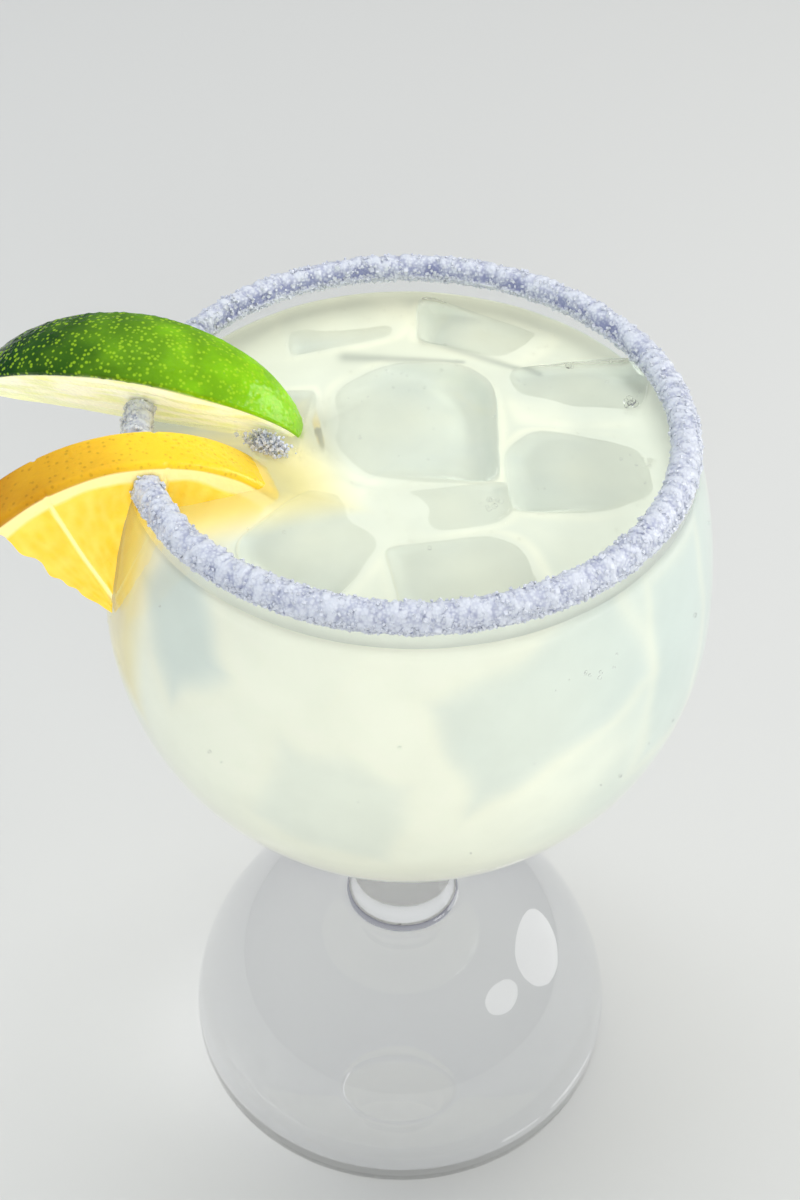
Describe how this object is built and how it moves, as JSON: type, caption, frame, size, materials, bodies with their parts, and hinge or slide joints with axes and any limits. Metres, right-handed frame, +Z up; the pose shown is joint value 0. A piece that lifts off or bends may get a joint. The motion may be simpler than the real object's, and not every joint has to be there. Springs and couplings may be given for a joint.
{
  "type": "margarita cocktail",
  "caption": "Margarita in a stemmed goblet with a salted rim, a lime wedge and a lemon slice; pale citrus drink with ice, standing on a flat foot.",
  "frame": {"origin": "on the goblet's vertical axis, in the plane of the ring that it stands on", "axes": "+Z up along the goblet's axis; -X towards the side where the lime and the lemon sit on the rim; -Y towards the front, where the lemon is"},
  "size_m": [0.1401, 0.117, 0.1926],
  "materials": {
    "goblet_glass": "clear thick glass with a faint lavender cast",
    "citrus_drink": "cloudy pale yellow-green citrus drink with a wet surface",
    "coarse_salt": "wet coarse salt grains, white to pale blue-grey",
    "lime": "glossy green peel with small oil glands, pale yellow-green flesh",
    "lemon": "pitted yellow peel, pale pith and juicy yellow flesh",
    "ice": "clear wet ice with fine bubbles"
  },
  "bodies": {
    "root": {"glass": "goblet_glass", "drink": "citrus_drink", "salt_rim": "coarse_salt", "lime_wedge": "lime", "lemon_slice": "lemon"}
  },
  "joints": []
}
